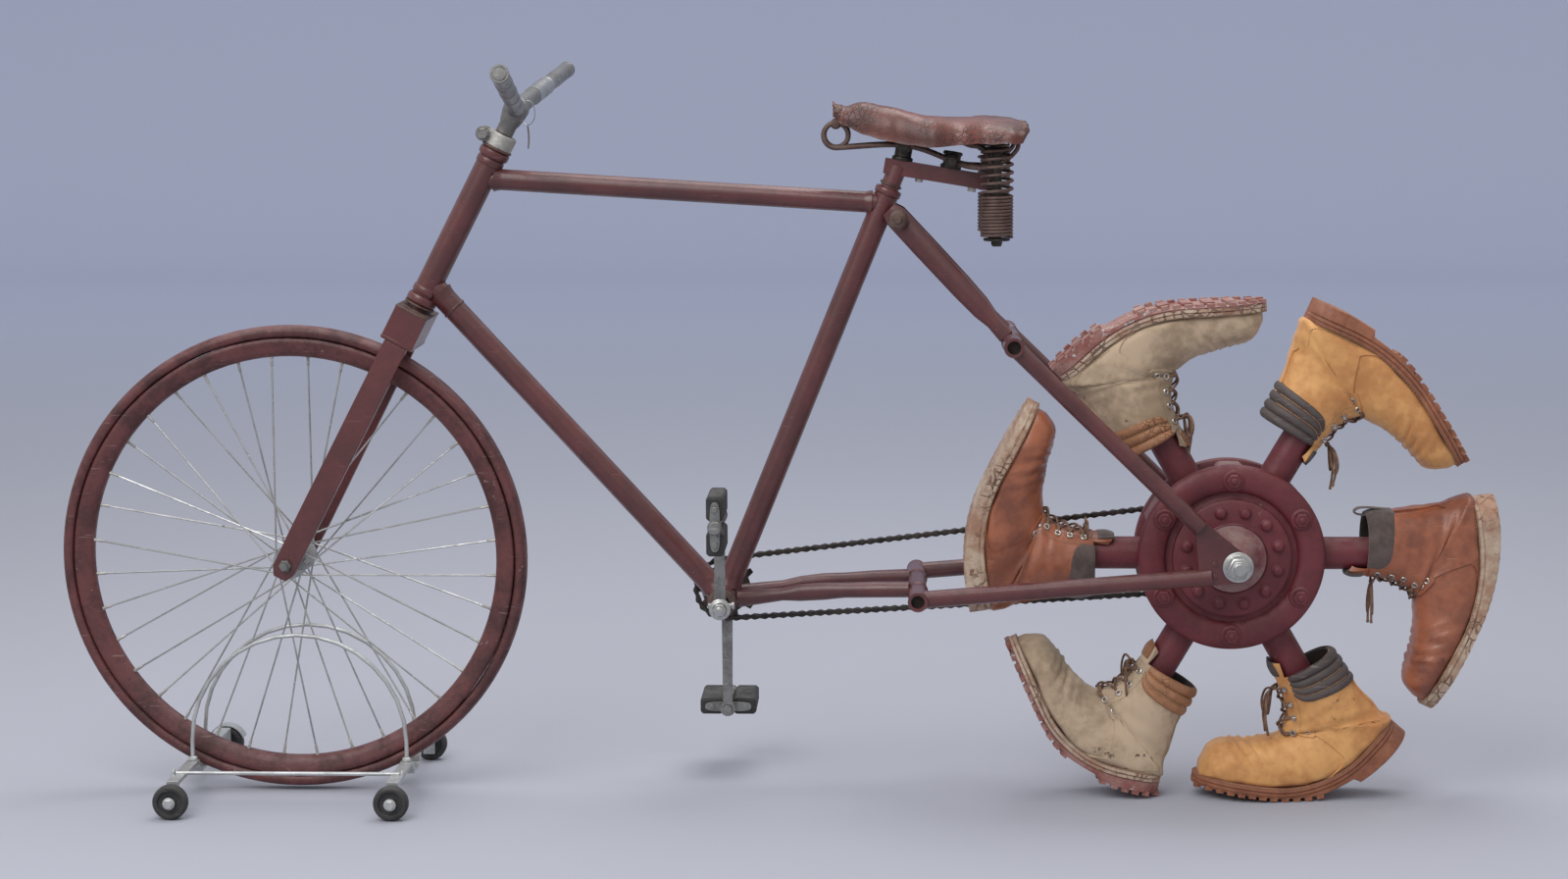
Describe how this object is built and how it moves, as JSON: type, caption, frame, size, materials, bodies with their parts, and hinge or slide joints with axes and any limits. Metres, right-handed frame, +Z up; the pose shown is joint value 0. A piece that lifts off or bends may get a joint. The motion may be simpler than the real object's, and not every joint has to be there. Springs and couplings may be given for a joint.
{
  "type": "walking bicycle",
  "caption": "Steel bicycle standing in a wheeled display dolly, with a spoked front wheel, a sprung saddle, chain drive and a rear wheel made of work boots on radial legs.",
  "frame": {"origin": "on the floor, under the middle of the whole object: midway between its front and rear ends and on the frame's middle plane", "axes": "+X from the front wheel to the boot wheel, +Y to the rider's right where the chain is, +Z up"},
  "size_m": [1.9097, 0.7074, 0.9744],
  "materials": {
    "maroon_paint": "old maroon enamel, worn and chipped",
    "bright_steel": "dull, scratched bare steel",
    "chain_steel": "oily dark steel",
    "saddle_leather": "old glazed saddle leather with fine cracks",
    "boot_leather": "worn suede and oiled leather with padded collars",
    "boot_rubber": "worn lug and crepe soles",
    "black_rubber": "matt black rubber",
    "spring_steel": "dark greasy steel"
  },
  "bodies": {
    "frame": {"head_tube": "maroon_paint", "headset_cup_lower": "maroon_paint", "headset_cup_upper": "maroon_paint", "top_tube": "maroon_paint", "down_tube": "maroon_paint", "seat_tube": "maroon_paint", "bottom_bracket_shell": "maroon_paint", "chain_stays": "maroon_paint", "seat_stay_arms": "maroon_paint", "pivot_bolt": "bright_steel", "seat_stay_left": "maroon_paint", "seat_stay_right": "maroon_paint", "rear_stay_left": "maroon_paint", "rear_stay_right": "maroon_paint", "rear_axle": "bright_steel", "chain": "chain_steel"},
    "fork": {"fork_crown": "maroon_paint", "fork_blade_left": "maroon_paint", "fork_blade_right": "maroon_paint", "front_axle": "bright_steel", "stem_collar": "bright_steel", "handlebar": "bright_steel"},
    "front_wheel": {"front_tyre": "maroon_paint", "front_rim": "maroon_paint", "front_hub": "bright_steel", "spokes_left": "bright_steel", "spokes_right": "bright_steel"},
    "dolly": {"dolly_base": "bright_steel", "dolly_hoop_left": "bright_steel", "dolly_hoop_right": "bright_steel"},
    "rear_wheel": {"hub_plate_left": "maroon_paint", "hub_plate_right": "maroon_paint", "leg_spider": "maroon_paint", "rear_sprocket": "chain_steel", "boot_upper_a": "boot_leather", "boot_upper_b": "boot_leather", "boot_upper_c": "boot_leather", "boot_upper_d": "boot_leather", "boot_upper_e": "boot_leather", "boot_upper_f": "boot_leather", "boot_sole_a": "boot_rubber", "boot_sole_b": "boot_rubber", "boot_sole_c": "boot_rubber", "boot_sole_d": "boot_rubber", "boot_sole_e": "boot_rubber", "boot_sole_f": "boot_rubber"},
    "crankset": {"crank_left": "bright_steel", "crank_right": "bright_steel", "chainring": "chain_steel"},
    "pedal_left": {"pedal_left": "black_rubber"},
    "pedal_right": {"pedal_right": "black_rubber"},
    "seat_pillar": {"seat_post": "maroon_paint", "saddle_frame": "spring_steel", "saddle_spring_left": "spring_steel", "saddle_spring_right": "spring_steel"},
    "saddle": {"saddle_top": "saddle_leather"},
    "castor_front_left": {"castor_front_left": "black_rubber"},
    "castor_front_right": {"castor_front_right": "black_rubber"},
    "castor_rear_left": {"castor_rear_left": "black_rubber"},
    "castor_rear_right": {"castor_rear_right": "black_rubber"}
  },
  "joints": [
    {"name": "steering", "type": "hinge", "parent": "frame", "child": "fork", "pos_m": [-0.642, 0, 0.3182], "axis": [0.4587, 0, 0.8886], "range_deg": [-75, 75]},
    {"name": "front_wheel_spin", "type": "hinge", "parent": "fork", "child": "front_wheel", "pos_m": [-0.642, 0, 0.3182], "axis": [0, 1, 0], "continuous": true},
    {"name": "dolly_release", "type": "slide", "parent": "fork", "child": "dolly", "axis": [0, 0, -1], "range_m": [0, 0.3]},
    {"name": "castor_front_left_spin", "type": "hinge", "parent": "dolly", "child": "castor_front_left", "pos_m": [-0.7805, -0.161, 0.0231], "axis": [0, 1, 0], "continuous": true},
    {"name": "castor_front_right_spin", "type": "hinge", "parent": "dolly", "child": "castor_front_right", "pos_m": [-0.7805, 0.161, 0.0231], "axis": [0, 1, 0], "continuous": true},
    {"name": "castor_rear_left_spin", "type": "hinge", "parent": "dolly", "child": "castor_rear_left", "pos_m": [-0.4915, -0.161, 0.0231], "axis": [0, 1, 0], "continuous": true},
    {"name": "castor_rear_right_spin", "type": "hinge", "parent": "dolly", "child": "castor_rear_right", "pos_m": [-0.4915, 0.161, 0.0231], "axis": [0, 1, 0], "continuous": true},
    {"name": "rear_wheel_spin", "type": "hinge", "parent": "frame", "child": "rear_wheel", "pos_m": [0.604, 0, 0.3274], "axis": [0, 1, 0], "continuous": true},
    {"name": "crank_spin", "type": "hinge", "parent": "frame", "child": "crankset", "pos_m": [-0.0665, 0, 0.2655], "axis": [0, 1, 0], "continuous": true},
    {"name": "pedal_left_spin", "type": "hinge", "parent": "crankset", "child": "pedal_left", "pos_m": [-0.0665, -0.1285, 0.3895], "axis": [0, 1, 0], "continuous": true},
    {"name": "pedal_right_spin", "type": "hinge", "parent": "crankset", "child": "pedal_right", "pos_m": [-0.0665, 0.1285, 0.0955], "axis": [0, 1, 0], "continuous": true},
    {"name": "seat_height", "type": "slide", "parent": "frame", "child": "seat_pillar", "axis": [0.3762, 0, 0.9265], "range_m": [0, 0.05]},
    {"name": "saddle_flex", "type": "hinge", "parent": "seat_pillar", "child": "saddle", "pos_m": [0.085, 0, 0.8945], "axis": [0, 1, 0], "range_deg": [0, 4], "stiffness_Nm_per_rad": 1000, "springref_deg": -34.38, "deforming": ["saddle_spring_left", "saddle_spring_right"]}
  ],
  "couplings": [
    {"joint": "crank_spin", "follows": "rear_wheel_spin", "ratio": 1.5}
  ]
}
